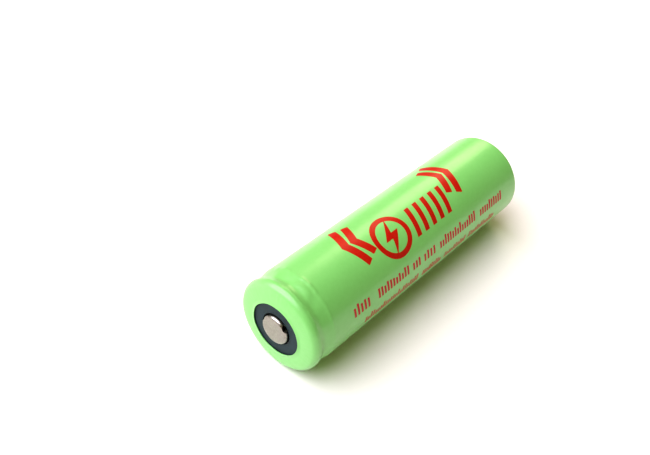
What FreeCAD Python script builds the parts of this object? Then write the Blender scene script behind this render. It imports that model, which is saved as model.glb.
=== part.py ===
import FreeCAD, Part
import math
import os
import re
from collections import namedtuple

import Sketcher
from FreeCAD import Placement, Rotation, Vector

# A standard round lithium-ion cell, 18 mm by 65 mm with a raised button, lying on its side.
# Every piece is drawn upright, with the steel can's base at height 0 and the button on top,
# and then laid down together: the button points to -X, the flat base to +X, and the sleeve
# rests on the plane z = 0.

# Driving sizes in millimetres, angles in degrees. Radii are measured from the cell's axis.
SIZES = [
    ("fit_gap", 0.02, "running clearance between curved faces that fit each other"),
    ("can_radius", 9.1, "outer radius of the bare steel can"),
    ("can_height", 65.0, "can, from base to the top of the crimped lip"),
    ("can_wall", 0.25, "thickness of the can's side wall and lip"),
    ("can_base", 0.3, "thickness of the can's base"),
    ("base_round", 1.0, "outside rounding of the can's base"),
    ("base_vent_inset", 1.0, "from the sleeve's hole in to the vent line scored in the base"),
    ("base_vent_reach", 0.15, "half the width of that scored line"),
    ("base_vent_depth", 0.06, "depth of that scored line"),
    ("crimp_round", 1.2, "outside rounding of the crimped shoulder"),
    ("lip_reach", 2.5, "how far the crimped lip reaches in from the can's outside"),
    ("groove_depth", 0.95, "depth of the rolled groove"),
    ("groove_reach", 1.25, "half the width of the rolled groove"),
    ("sleeve_wall", 0.1, "thickness of the shrunk sleeve"),
    ("sleeve_dip", 0.28, "how far the sleeve sinks over the groove"),
    ("sleeve_bridge", 0.05, "how much further that dip reaches than the groove, each way"),
    ("sleeve_top_opening", 5.3, "radius of the sleeve's hole at the button"),
    ("sleeve_base_opening", 7.2, "radius of the sleeve's hole at the base"),
    ("washer_sheet", 0.3, "thickness of the insulating washer"),
    ("washer_inset", 1.4, "from the can's outside in to the washer's edge"),
    ("washer_room", 0.2, "clearance between the washer's hole and the button"),
    ("button_radius", 2.95, "outer radius of the button"),
    ("button_proud", 0.7, "height of the button above the washer"),
    ("button_round", 0.42, "rounding of the button's top edge"),
    ("button_metal", 0.2, "thickness of the button's steel"),
    ("button_flange_inset", 0.7, "from the cap's raised edge in to the button's flange"),
    ("button_vents", 3, "number of gas holes in the button's side"),
    ("button_vent_radius", 0.36, "radius of each of those holes"),
    ("button_vent_rise", 0.07, "steel left between them and the flange"),
    ("button_vent_turn", -48, "direction of the first of them"),
    ("cap_metal", 0.5, "thickness of the cap's steel"),
    ("cap_crown_radius", 5.1, "radius of the cap's raised middle"),
    ("cap_skirt_spread", 0.5, "how much wider the raised middle is at its foot"),
    ("cap_skirt_wall", 0.4, "level thickness of the sloping side of the raised middle"),
    ("cap_vents", 4, "number of gas holes in the cap's side"),
    ("cap_vent_radius", 0.3, "radius of each of those holes"),
    ("gasket_wall", 0.45, "thickness of the gasket's upright wall"),
    ("gasket_floor", 0.45, "thickness of the gasket under the burst disc"),
    ("gasket_lip", 0.43, "thickness of the gasket between the burst disc and the can's lip"),
    ("gasket_floor_reach", 1.33, "how far the gasket's floor reaches in from its wall"),
    ("gasket_lip_reach", 2.13, "how far the gasket's folded top reaches in from its wall"),
    ("disc_metal", 0.3, "thickness of the burst disc"),
    ("disc_rim_reach", 1.06, "width of the burst disc's folded rim"),
    ("disc_dome_radius", 4.4, "radius where the burst disc starts to dish"),
    ("disc_nub_radius", 1.0, "radius of the welded nub in its middle"),
    ("score_inset", 0.4, "from the start of the dish out to the line scored for tearing"),
    ("score_reach", 0.12, "half the width of the scored line"),
    ("ring_sheet", 0.5, "thickness of the ring between disc and contact plate"),
    ("ring_shelf", 1.2, "how far the ring reaches in over the contact plate"),
    ("ring_wall", 0.53, "thickness of the ring round the contact plate"),
    ("ring_room", 0.1, "clearance between the ring and the gasket's floor"),
    ("plate_sheet", 0.5, "thickness of the contact plate"),
    ("plate_weld_radius", 1.3, "radius of the thinned weld spot in the plate"),
    ("plate_weld_sheet", 0.15, "thickness of the plate at the weld spot"),
    ("plate_vents", 6, "number of gas holes in the contact plate"),
    ("plate_vent_radius", 0.65, "radius of each of those holes"),
    ("upper_disc_sheet", 0.3, "thickness of the upper insulator"),
    ("upper_disc_room", 0.1, "clearance round the upper insulator"),
    ("upper_disc_tab_room", 0.5, "clearance between its middle hole and the tab"),
    ("upper_disc_vents", 4, "number of its filling holes"),
    ("upper_disc_vent_radius", 1.1, "radius of each filling hole"),
    ("lower_disc_sheet", 0.3, "thickness of the lower insulator"),
    ("lower_disc_room", 0.1, "clearance between the lower insulator's edge and the rising tab"),
    ("lower_disc_pin_room", 0.4, "clearance between its middle hole and the core tube"),
    ("roll_start", 1.85, "radius at which the wound sheets begin"),
    ("roll_slack", 0.1, "room between the roll and the upper insulator"),
    ("cathode_thickness", 0.165, "coated aluminium sheet"),
    ("anode_thickness", 0.155, "coated copper sheet"),
    ("separator_thickness", 0.03, "porous plastic film"),
    ("winding_gap", 0.02, "clearance between two wound sheets"),
    ("anode_margin", 0.6, "how far the separators stand out past the anode"),
    ("cathode_margin", 1.1, "how far the separators stand out past the cathode"),
    ("closing_tape", 0.05, "thickness of the tape round the roll"),
    ("closing_tape_margin", 4.0, "how far the tape stays from each end of the roll"),
    ("tab_thickness", 0.1, "thickness of both tabs"),
    ("tab_width", 3.5, "width of both tabs"),
    ("tab_fold", 4.2, "how far past the axis the upper tab reaches before it folds back"),
    ("tab_weld", 1.4, "how far past the axis a tab is welded down"),
    ("tab_lift", 0.2, "how far the lower tab rises where it meets the roll"),
    ("tab_slope", 0.8, "length over which it rises"),
    ("tab_tape", 0.05, "thickness of the tape over the upper tab"),
    ("tab_tape_height", 12.0, "length of the tape over the upper tab"),
    ("pin_radius", 1.2, "outer radius of the tube in the core"),
    ("pin_wall", 0.2, "wall of that tube"),
    ("pin_slit", 0.3, "width of the slit along that tube"),
    ("pin_margin", 1.5, "how far its top stays below the top of the roll"),
]

# Distances that follow from the driving sizes, each a formula of sizes and earlier distances.
PLACES = {
    "can_bore": "can_radius - can_wall",
    "lip_radius": "can_radius - lip_reach",
    "lip_under": "can_height - can_wall",
    "shoulder_radius": "can_radius - crimp_round",
    "shoulder_foot": "can_height - crimp_round",
    "base_inner_round": "base_round - can_wall",
    "base_vent_radius": "sleeve_base_opening - base_vent_inset",
    # gasket and the stack that it holds, from the lip down to the groove that carries it
    "gasket_radius": "can_bore - fit_gap",
    "gasket_bore": "gasket_radius - gasket_wall",
    "gasket_corner": "crimp_round - can_wall - fit_gap",
    "gasket_opening": "gasket_bore - gasket_floor_reach",
    "gasket_lip_opening": "gasket_bore - gasket_lip_reach",
    "gasket_top": "lip_under - fit_gap",
    "stack_top": "gasket_top - gasket_lip",
    "cap_flange_top": "stack_top - disc_metal",
    "cap_foot": "cap_flange_top - cap_metal",
    "stack_foot": "cap_foot - disc_metal",
    "groove_top": "stack_foot - gasket_floor",
    "groove_mid": "groove_top - groove_reach",
    "groove_foot": "groove_mid - groove_reach",
    "disc_radius": "gasket_bore - fit_gap",
    "disc_rim_opening": "disc_radius - disc_rim_reach",
    "score_radius": "disc_dome_radius + score_inset",
    "cap_radius": "disc_radius - disc_metal - fit_gap",
    "cap_top": "can_height - button_metal",
    "cap_skirt_radius": "cap_crown_radius + cap_skirt_spread",
    "cap_vent_height": "(cap_flange_top + cap_top - cap_metal) / 2",
    # washer, button and sleeve
    "washer_top": "can_height + washer_sheet",
    "washer_radius": "can_radius - washer_inset",
    "washer_hole": "button_radius + washer_room",
    "button_top": "washer_top + button_proud",
    "button_flange": "cap_crown_radius - button_flange_inset",
    "button_vent_height": "can_height + button_vent_rise + button_vent_radius",
    "sleeve_radius": "can_radius + fit_gap + sleeve_wall",
    "sleeve_base": "-1 * sleeve_wall",
    "sleeve_top": "washer_top + sleeve_wall",
    "sleeve_top_round": "sleeve_radius - washer_radius",
    "sleeve_base_round": "base_round + fit_gap + sleeve_wall",
    "sleeve_dip_reach": "groove_reach + sleeve_bridge",
    # the interrupt plate under the burst disc
    "plate_top": "stack_foot - ring_sheet",
    "plate_foot": "plate_top - plate_sheet",
    "ring_radius": "gasket_opening - ring_room",
    "ring_bore": "ring_radius - ring_wall",
    "ring_opening": "ring_bore - ring_shelf",
    "plate_radius": "ring_bore - fit_gap",
    "plate_vent_circle": "(plate_weld_radius + plate_radius) / 2",
    # the roll, whose last half turn and tape still have to fit the can
    "corner_middle": "can_radius - base_round",
    "roll_pitch": "cathode_thickness + anode_thickness + 2 * separator_thickness + 4 * winding_gap",
    "roll_step": "roll_pitch / 2",
    "roll_shift": "roll_pitch / 4",
    "roll_room": "can_bore - 2 * fit_gap - closing_tape - roll_shift - roll_start",
    "roll_turns": "floor(roll_room / roll_pitch - 0.5)",
    "roll_reach": "roll_start + roll_step * (2 * roll_turns + 1) + closing_tape + roll_shift",
    "corner_run": "min(base_inner_round; max(roll_reach - corner_middle; 0))",
    "corner_rise": "base_inner_round - sqrt(base_inner_round ^ 2 - corner_run ^ 2)",
    "roll_foot": "can_base + max(tab_thickness + lower_disc_sheet; corner_rise + fit_gap)",
    "upper_disc_foot": "groove_foot - upper_disc_sheet",
    "upper_disc_radius": "can_bore - upper_disc_room",
    "upper_disc_hole": "upper_tab_radius + cathode_thickness + roll_shift + upper_disc_tab_room",
    "upper_disc_vent_circle": "(upper_disc_hole + upper_disc_radius) / 2",
    "separator_height": "upper_disc_foot - roll_slack - roll_foot",
    "cathode_slot": "0",
    "inner_separator_slot": "cathode_thickness + winding_gap",
    "anode_slot": "inner_separator_slot + separator_thickness + winding_gap",
    "outer_separator_slot": "anode_slot + anode_thickness + winding_gap",
    # the tabs, each lying in its own sheet's slot and centred on the -Y side
    "upper_tab_radius": "roll_start + roll_step",
    "upper_tab_spread": "tab_width / upper_tab_radius * 90 / pi",
    "upper_leg_foot": "upper_disc_foot + upper_disc_sheet + tab_thickness",
    "upper_bend": "(plate_foot - upper_leg_foot) / 2",
    "lower_tab_radius": "roll_start + (2 * roll_turns - 1) * roll_step + anode_slot",
    "lower_tab_spread": "tab_width / lower_tab_radius * 90 / pi",
    "lower_tab_edge": "lower_tab_radius + anode_thickness / 2",
    "lower_tab_knee": "lower_tab_edge - tab_slope",
    "lower_disc_foot": "can_base + tab_thickness",
    "lower_disc_radius": "lower_tab_knee - lower_disc_room",
    "lower_disc_hole": "pin_radius + lower_disc_pin_room",
    "pin_height": "roll_foot + separator_height - pin_margin - lower_disc_foot",
    # where the laid-down cell stands
    "axis_height": "sleeve_radius",
    "axis_start": "(button_top - sleeve_wall) / 2",
}

# Both tabs lie on the -Y side of the roll, which is this far round a turn.
TAB_TURN = 0.75

# One corner of an outline. arc is the radius of the edge that leaves this corner, and turn is
# 1 where that edge bends left and -1 where it bends right.
Corner = namedtuple("Corner", "x y arc turn", defaults=(None, 0))

doc = FreeCAD.newDocument("round_cell")


def make_sheet():
    """Write the driving sizes into a spreadsheet, one alias for each."""
    sheet = doc.addObject("Spreadsheet::Sheet", "Sizes")
    for row, (alias, value, meaning) in enumerate(SIZES, start=1):
        sheet.set(f"A{row}", alias)
        sheet.set(f"B{row}", str(value))
        sheet.set(f"C{row}", meaning)
        sheet.setAlias(f"B{row}", alias)
    doc.recompute()
    return sheet


sizes = make_sheet()
ALIASES = {alias for alias, value, meaning in SIZES}


def bound(formula):
    """Spell a formula out as an expression that reads the spreadsheet."""
    def spell(match):
        word = match.group(0)
        if word in PLACES:
            return f"({bound(PLACES[word])})"
        return f"Sizes.{word}" if word in ALIASES else word
    return re.sub(r"[a-z_]+", spell, str(formula))


def number(formula):
    """Work a formula out from the spreadsheet's values."""
    return float(sizes.evalExpression(bound(formula)))


def lay_down(piece):
    """Place an upright piece in the laid-down cell."""
    piece.Placement = Placement(Vector(0, 0, 0), Rotation(Vector(0, 1, 0), -90))
    piece.setExpression("Placement.Base.x", bound("axis_start"))
    piece.setExpression("Placement.Base.z", bound("axis_height"))


def new_body(name):
    """Start a piece as a body of its own."""
    body = doc.addObject("PartDesign::Body", name)
    body.Label = name
    lay_down(body)
    return body


def plane_of(body, role):
    return next(item for item in body.Origin.OriginFeatures if item.Role == role)


def new_sketch(body, name, role, height="0", turn="0"):
    """Attach a sketch to a plane of the body, raised by height or turned about the axis."""
    sketch = body.newObject("Sketcher::SketchObject", name)
    sketch.AttachmentSupport = [(plane_of(body, role), "")]
    sketch.MapMode = "FlatFace"
    sketch.AttachmentOffset = Placement(Vector(0, 0, 0), Rotation(Vector(0, 1, 0), number(turn)))
    sketch.setExpression("AttachmentOffset.Base.z", bound(height))
    return sketch


def pin_point(sketch, edge, end, corner, tag):
    """Fix one end of an edge at a corner, by its distances from the sketch's origin."""
    for axis, kind, formula in ((-2, "DistanceX", corner.x), (-1, "DistanceY", corner.y)):
        if formula == "0":
            sketch.addConstraint(Sketcher.Constraint("PointOnObject", edge, end, axis))
            continue
        place = Sketcher.Constraint(kind, -1, 1, edge, end, number(formula))
        index = sketch.addConstraint(place)
        sketch.renameConstraint(index, f"{kind}_{tag}")
        sketch.setExpression(f"Constraints.{kind}_{tag}", bound(formula))


def arc_between(start, finish, radius, turn):
    """Make the arc of a radius from start to finish that bends left (1) or right (-1)."""
    chord = finish - start
    left = Vector(-chord.y, chord.x, 0).normalize()
    rise = math.sqrt(max(radius ** 2 - (chord.Length / 2) ** 2, 0))
    centre = (start + finish) / 2 + left * (rise * turn)
    circle = Part.Circle(centre, Vector(0, 0, 1), radius)
    angles = [math.atan2(end.y - centre.y, end.x - centre.x) for end in (start, finish)]
    return Part.ArcOfCircle(circle, *(angles if turn > 0 else reversed(angles)))


def draw_outline(sketch, corners):
    """Draw a closed outline of lines and arcs whose corners and radii follow the sheet."""
    points = [Vector(number(corner.x), number(corner.y), 0) for corner in corners]
    ends = []
    for index, corner in enumerate(corners):
        start, finish = points[index], points[(index + 1) % len(points)]
        if corner.arc is None:
            edge = sketch.addGeometry(Part.LineSegment(start, finish))
        else:
            edge = sketch.addGeometry(arc_between(start, finish, number(corner.arc), corner.turn))
        ends.append((1, 2) if corner.turn >= 0 else (2, 1))
        pin_point(sketch, edge, ends[index][0], corner, index)
        if corner.arc is not None:
            radius = Sketcher.Constraint("Radius", edge, number(corner.arc))
            sketch.renameConstraint(sketch.addConstraint(radius), f"Radius_{index}")
            sketch.setExpression(f"Constraints.Radius_{index}", bound(corner.arc))
    for index in range(len(corners)):
        after = (index + 1) % len(corners)
        join = Sketcher.Constraint("Coincident", index, ends[index][1], after, ends[after][0])
        sketch.addConstraint(join)


def draw_circle(sketch, radius, x="0", y="0"):
    """Draw a circle whose centre and radius follow the sheet."""
    centre = Vector(number(x), number(y), 0)
    edge = sketch.addGeometry(Part.Circle(centre, Vector(0, 0, 1), number(radius)))
    pin_point(sketch, edge, 3, Corner(x, y), "centre")
    size = Sketcher.Constraint("Radius", edge, number(radius))
    sketch.renameConstraint(sketch.addConstraint(size), "Radius_circle")
    sketch.setExpression("Constraints.Radius_circle", bound(radius))


def turned(name, corners):
    """Make a piece by turning an outline of (radius, height) corners about the axis."""
    body = new_body(name)
    sketch = new_sketch(body, f"{name}_outline", "XZ_Plane")
    draw_outline(sketch, corners)
    revolution = body.newObject("PartDesign::Revolution", f"{name}_turned")
    revolution.Profile = sketch
    revolution.ReferenceAxis = (sketch, ["V_Axis"])
    revolution.Angle = 360
    return body


def padded(body, name, sketch, length, both_ways=False):
    """Give an outline a thickness."""
    pad = body.newObject("PartDesign::Pad", name)
    pad.Profile = sketch
    pad.setExpression("Length", bound(length))
    if both_ways:
        pad.SideType = "Symmetric"
    return pad


def disc(name, foot, sheet, radius, hole):
    """Make a flat ring of one thickness."""
    return turned(name, [
        Corner(hole, foot), Corner(radius, foot),
        Corner(radius, f"{foot} + {sheet}"), Corner(hole, f"{foot} + {sheet}")])


def cut_round(body, sketch, count):
    """Cut an outline right through one side, and repeat it round the axis."""
    before = body_volume(body)
    pocket = body.newObject("PartDesign::Pocket", f"{sketch.Name}_cut")
    pocket.Profile = sketch
    pocket.Type = "ThroughAll"
    doc.recompute()
    if body_volume(body) >= before:
        pocket.Reversed = True
        doc.recompute()
    pattern = body.newObject("PartDesign::PolarPattern", f"{sketch.Name}_round")
    pattern.Originals = [pocket]
    pattern.Axis = (plane_of(body, "Z_Axis"), [""])
    pattern.Angle = 360
    pattern.setExpression("Occurrences", bound(count))
    body.Tip = pattern
    doc.recompute()
    if body_volume(body) >= before:
        raise RuntimeError(f"{sketch.Name} cuts nothing")


def body_volume(body):
    doc.recompute()
    return body.Shape.Volume


def side_holes(body, name, height, radius, count, turn="0"):
    """Drill holes square to the axis through the side of a body."""
    sketch = new_sketch(body, name, "XZ_Plane", turn=turn)
    draw_circle(sketch, radius, y=height)
    cut_round(body, sketch, count)


def face_holes(body, name, height, radius, circle, count):
    """Drill holes along the axis, spaced round a circle."""
    sketch = new_sketch(body, name, "XY_Plane", height=height)
    draw_circle(sketch, radius, x=circle)
    cut_round(body, sketch, count)


def rolled_wall(radius, middle, depth, reach, wall, upwards):
    """Corners of a wall with a rolled groove, on the outside (upwards) or the inside.

    The groove is an S of two arcs on each side of its middle. wall is 0 for the outer face,
    and the wall's thickness for the inner one, whose arcs share the outer arcs' centres.
    """
    arc = f"(({depth}) ^ 2 + ({reach}) ^ 2) / (4 * ({depth}))"
    spread = f"(({reach}) ^ 2 + ({depth}) ^ 2)"
    lean = f"(({reach}) ^ 2 - ({depth}) ^ 2) / {spread}"
    tilt = f"2 * ({depth}) * ({reach}) / {spread}"
    waist = f"{radius} - ({depth}) / 2 - ({wall}) * {lean}"
    face = f"{radius} - ({wall})"
    outer, inner = f"{arc} - ({wall})", f"{arc} + ({wall})"
    low = f"{middle} - ({reach}) / 2 - ({wall}) * {tilt}"
    high = f"{middle} + ({reach}) / 2 + ({wall}) * {tilt}"
    foot, head = f"{middle} - ({reach})", f"{middle} + ({reach})"
    if upwards:
        return [Corner(face, foot, outer, 1), Corner(waist, low, inner, -1),
                Corner(waist, high, outer, 1), Corner(face, head)]
    return [Corner(face, head, outer, -1), Corner(waist, high, inner, 1),
            Corner(waist, low, outer, -1), Corner(face, foot)]


def build_can():
    """Drawn steel can with its rolled groove, its crimped lip and a scored line in its base."""
    groove = ("can_radius", "groove_mid", "groove_depth", "groove_reach")
    turned("cell_can", [
        Corner("0", "0"),
        Corner("base_vent_radius - base_vent_reach", "0"),
        Corner("base_vent_radius", "base_vent_depth"),
        Corner("base_vent_radius + base_vent_reach", "0"),
        Corner("corner_middle", "0", "base_round", 1),
        Corner("can_radius", "base_round"),
        *rolled_wall(*groove, "0", upwards=True),
        Corner("can_radius", "shoulder_foot", "crimp_round", 1),
        Corner("shoulder_radius", "can_height"),
        Corner("lip_radius", "can_height"),
        Corner("lip_radius", "lip_under"),
        Corner("shoulder_radius", "lip_under", "crimp_round - can_wall", -1),
        Corner("can_bore", "shoulder_foot"),
        *rolled_wall(*groove, "can_wall", upwards=False),
        Corner("can_bore", "can_base + base_inner_round", "base_inner_round", -1),
        Corner("corner_middle", "can_base"),
        Corner("0", "can_base")])


def build_sleeve():
    """Heat-shrunk plastic sleeve, folded over both ends and sunk a little over the groove."""
    dip = ("sleeve_radius", "groove_mid", "sleeve_dip", "sleeve_dip_reach")
    top_middle, base_middle = "washer_radius", "sleeve_radius - sleeve_base_round"
    top_straight = "sleeve_top - sleeve_top_round"
    base_straight = "sleeve_base + sleeve_base_round"
    turned("heat_shrink_sleeve", [
        Corner("sleeve_base_opening", "sleeve_base"),
        Corner(base_middle, "sleeve_base", "sleeve_base_round", 1),
        Corner("sleeve_radius", base_straight),
        *rolled_wall(*dip, "0", upwards=True),
        Corner("sleeve_radius", top_straight, "sleeve_top_round", 1),
        Corner(top_middle, "sleeve_top"),
        Corner("sleeve_top_opening", "sleeve_top"),
        Corner("sleeve_top_opening", "washer_top"),
        Corner(top_middle, "washer_top", "sleeve_top_round - sleeve_wall", -1),
        Corner("sleeve_radius - sleeve_wall", top_straight),
        *rolled_wall(*dip, "sleeve_wall", upwards=False),
        Corner("sleeve_radius - sleeve_wall", base_straight, "sleeve_base_round - sleeve_wall", -1),
        Corner(base_middle, "sleeve_base + sleeve_wall"),
        Corner("sleeve_base_opening", "sleeve_base + sleeve_wall")])


def build_button():
    """Stamped steel button, welded by its flange to the cap, with gas holes in its side."""
    flank, crown = "button_radius - button_metal", "button_radius - button_round"
    body = turned("positive_button", [
        Corner("0", "button_top - button_metal"),
        Corner(crown, "button_top - button_metal", "button_round - button_metal", -1),
        Corner(flank, "button_top - button_round"),
        Corner(flank, "cap_top"),
        Corner("button_flange", "cap_top"),
        Corner("button_flange", "can_height"),
        Corner("button_radius", "can_height"),
        Corner("button_radius", "button_top - button_round", "button_round", 1),
        Corner(crown, "button_top"),
        Corner("0", "button_top")])
    side_holes(body, "button_vents", "button_vent_height", "button_vent_radius",
               "button_vents", "button_vent_turn")


def build_cap():
    """Steel cap under the button, its flange held in the burst disc's rim."""
    body = turned("positive_cap", [
        Corner("0", "cap_top - cap_metal"),
        Corner("cap_crown_radius - cap_skirt_wall", "cap_top - cap_metal"),
        Corner("cap_skirt_radius - cap_skirt_wall", "cap_foot"),
        Corner("cap_radius", "cap_foot"),
        Corner("cap_radius", "cap_flange_top"),
        Corner("cap_skirt_radius", "cap_flange_top"),
        Corner("cap_crown_radius", "cap_top"),
        Corner("0", "cap_top")])
    side_holes(body, "cap_vents", "cap_vent_height", "cap_vent_radius", "cap_vents")


def build_burst_disc():
    """Dished aluminium disc with a scored line and a rim folded over the cap's flange."""
    turned("burst_disc", [
        Corner("0", "plate_top"),
        Corner("disc_nub_radius", "plate_top"),
        Corner("disc_dome_radius", "stack_foot"),
        Corner("disc_radius", "stack_foot"),
        Corner("disc_radius", "stack_top"),
        Corner("disc_rim_opening", "stack_top"),
        Corner("disc_rim_opening", "cap_flange_top"),
        Corner("disc_radius - disc_metal", "cap_flange_top"),
        Corner("disc_radius - disc_metal", "cap_foot"),
        Corner("score_radius + score_reach", "cap_foot"),
        Corner("score_radius", "cap_foot - disc_metal / 2"),
        Corner("score_radius - score_reach", "cap_foot"),
        Corner("disc_dome_radius", "cap_foot"),
        Corner("disc_nub_radius", "plate_top + disc_metal"),
        Corner("0", "plate_top + disc_metal")])


def build_interrupter():
    """Contact plate that the burst disc pulls away from, and the ring that keeps them apart."""
    turned("cid_insulator_ring", [
        Corner("ring_opening", "plate_top"),
        Corner("ring_bore", "plate_top"),
        Corner("ring_bore", "plate_foot"),
        Corner("ring_radius", "plate_foot"),
        Corner("ring_radius", "stack_foot"),
        Corner("ring_opening", "stack_foot")])
    plate = turned("cid_contact_plate", [
        Corner("0", "plate_top - plate_weld_sheet"),
        Corner("plate_weld_radius", "plate_top - plate_weld_sheet"),
        Corner("plate_weld_radius", "plate_foot"),
        Corner("plate_radius", "plate_foot"),
        Corner("plate_radius", "plate_top"),
        Corner("0", "plate_top")])
    face_holes(plate, "plate_vents", "plate_top", "plate_vent_radius", "plate_vent_circle",
               "plate_vents")


def build_gasket():
    """Plastic gasket that seals and insulates the cap inside the crimped can."""
    turned("crimp_gasket", [
        Corner("gasket_opening", "groove_top"),
        Corner("gasket_radius", "groove_top"),
        Corner("gasket_radius", "shoulder_foot", "gasket_corner", 1),
        Corner("shoulder_radius", "gasket_top"),
        Corner("gasket_lip_opening", "gasket_top"),
        Corner("gasket_lip_opening", "stack_top"),
        Corner("gasket_bore", "stack_top"),
        Corner("gasket_bore", "stack_foot"),
        Corner("gasket_opening", "stack_foot")])


def build_insulators():
    """Washer under the sleeve, and the discs above and below the roll."""
    disc("top_insulator_washer", "can_height", "washer_sheet", "washer_radius", "washer_hole")
    disc("lower_insulator_disc", "lower_disc_foot", "lower_disc_sheet", "lower_disc_radius",
         "lower_disc_hole")
    upper = disc("upper_insulator_disc", "upper_disc_foot", "upper_disc_sheet",
                 "upper_disc_radius", "upper_disc_hole")
    face_holes(upper, "filling_holes", "upper_disc_foot + upper_disc_sheet",
               "upper_disc_vent_radius", "upper_disc_vent_circle", "upper_disc_vents")


def build_pin():
    """Slit steel tube in the core of the roll, standing on the lower tab."""
    pin = turned("centre_pin", [
        Corner("pin_radius - pin_wall", "lower_disc_foot"),
        Corner("pin_radius", "lower_disc_foot"),
        Corner("pin_radius", "lower_disc_foot + pin_height"),
        Corner("pin_radius - pin_wall", "lower_disc_foot + pin_height")])
    sketch = new_sketch(pin, "pin_slit", "XY_Plane", height="lower_disc_foot + pin_height")
    draw_outline(sketch, [
        Corner("pin_slit / -2", "0"), Corner("pin_slit / 2", "0"),
        Corner("pin_slit / 2", "pin_radius * 2"), Corner("pin_slit / -2", "pin_radius * 2")])
    before = body_volume(pin)
    pocket = pin.newObject("PartDesign::Pocket", "pin_slit_cut")
    pocket.Profile = sketch
    pocket.Type = "ThroughAll"
    if body_volume(pin) >= before:
        raise RuntimeError("the slit cuts nothing")


def draw_slot_piece(sketch, radius, thickness, spread):
    """Outline of a strip that lies in a winding, centred on its -Y side."""
    def corner(reach, side, arc=None, turn=0):
        x = f"roll_shift + ({reach}) * sin({spread}) * {side}"
        return Corner(x, f"-1 * ({reach}) * cos({spread})", arc, turn)
    outside = f"({radius}) + ({thickness})"
    draw_outline(sketch, [
        corner(outside, -1, outside, 1), corner(outside, 1),
        corner(radius, 1, radius, -1), corner(radius, -1)])


def build_upper_tab():
    """Aluminium tab in the core, folded once under the contact plate, with its tape."""
    body = new_body("positive_tab")
    strip = new_sketch(body, "upper_tab_strip", "XY_Plane", height="roll_foot + cathode_margin")
    draw_slot_piece(strip, "upper_tab_radius", "cathode_thickness", "upper_tab_spread")
    padded(body, "upper_tab_upright", strip,
           "upper_leg_foot + tab_thickness - roll_foot - cathode_margin")
    fold = new_sketch(body, "upper_tab_fold", "YZ_Plane")
    near = "-1 * (upper_tab_radius + cathode_thickness)"
    middle, inner = "upper_leg_foot + upper_bend", "upper_bend - tab_thickness"
    draw_outline(fold, [
        Corner(near, "upper_leg_foot"),
        Corner("tab_fold", "upper_leg_foot", "upper_bend", 1),
        Corner("tab_fold + upper_bend", middle, "upper_bend", 1),
        Corner("tab_fold", "plate_foot"),
        Corner("-1 * tab_weld", "plate_foot"),
        Corner("-1 * tab_weld", "plate_foot - tab_thickness"),
        Corner("tab_fold", "plate_foot - tab_thickness", inner, -1),
        Corner(f"tab_fold + {inner}", middle, inner, -1),
        Corner("tab_fold", "upper_leg_foot + tab_thickness"),
        Corner(near, "upper_leg_foot + tab_thickness")])
    padded(body, "upper_tab_legs", fold, "tab_width", both_ways=True)

    tape = new_body("positive_tab_tape")
    band = new_sketch(tape, "tab_tape_band", "XY_Plane",
                      height="roll_foot + separator_height - tab_tape_height")
    draw_slot_piece(band, "upper_tab_radius - winding_gap - tab_tape", "tab_tape",
                    "upper_tab_spread")
    padded(tape, "tab_tape_pad", band, "tab_tape_height")


def build_lower_tab():
    """Nickel tab at the roll's outer end, folded in under the lower insulator."""
    body = new_body("negative_tab")
    start = "can_base + tab_lift"
    strip = new_sketch(body, "lower_tab_strip", "XY_Plane", height=start)
    draw_slot_piece(strip, "lower_tab_radius", "anode_thickness", "lower_tab_spread")
    padded(body, "lower_tab_upright", strip,
           f"roll_foot + separator_height - anode_margin - ({start})")
    foot = new_sketch(body, "lower_tab_foot", "YZ_Plane")
    draw_outline(foot, [
        Corner("-1 * lower_tab_edge", start),
        Corner("-1 * lower_tab_knee", "can_base"),
        Corner("tab_weld", "can_base"),
        Corner("tab_weld", "lower_disc_foot"),
        Corner("-1 * lower_tab_knee", "lower_disc_foot"),
        Corner("-1 * lower_tab_edge", f"{start} + tab_thickness")])
    padded(body, "lower_tab_weld", foot, "tab_width", both_ways=True)


def winding_edge(radius, first, last):
    """Arcs of one wound edge, from one turn count to another.

    Half turns are arcs about two centres either side of the axis, so each is larger than the
    one before and meets it without a kink.
    """
    step, shift = number("roll_step"), number("roll_shift")
    arcs = []
    for half in range(math.floor(2 * first + 1e-9), math.ceil(2 * last - 1e-9)):
        centre = Vector(shift if half % 2 else -shift, 0, 0)
        circle = Part.Circle(centre, Vector(0, 0, 1), radius + step * half)
        turns = (max(first, half / 2), min(last, (half + 1) / 2))
        arcs.append(Part.ArcOfCircle(circle, *(turn * 2 * math.pi for turn in turns)).toShape())
    return arcs


def wound_sheet(name, slot, thickness, margin, first, last):
    """Make one wound sheet, a flat spiral band as tall as the separators less its margins."""
    radius = number(f"roll_start + {slot}")
    inner = winding_edge(radius, first, last)
    outer = winding_edge(radius + number(thickness), first, last)
    ends = [Part.makeLine(inner[0].valueAt(inner[0].FirstParameter),
                          outer[0].valueAt(outer[0].FirstParameter)),
            Part.makeLine(inner[-1].valueAt(inner[-1].LastParameter),
                          outer[-1].valueAt(outer[-1].LastParameter))]
    face = Part.Face(Part.Wire(Part.__sortEdges__(inner + outer + ends)))
    face.translate(Vector(0, 0, number(f"roll_foot + {margin}")))
    sheet = doc.addObject("Part::Feature", name)
    sheet.Label = name
    sheet.Shape = face.extrude(Vector(0, 0, number(f"separator_height - 2 * {margin}")))
    lay_down(sheet)


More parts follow.
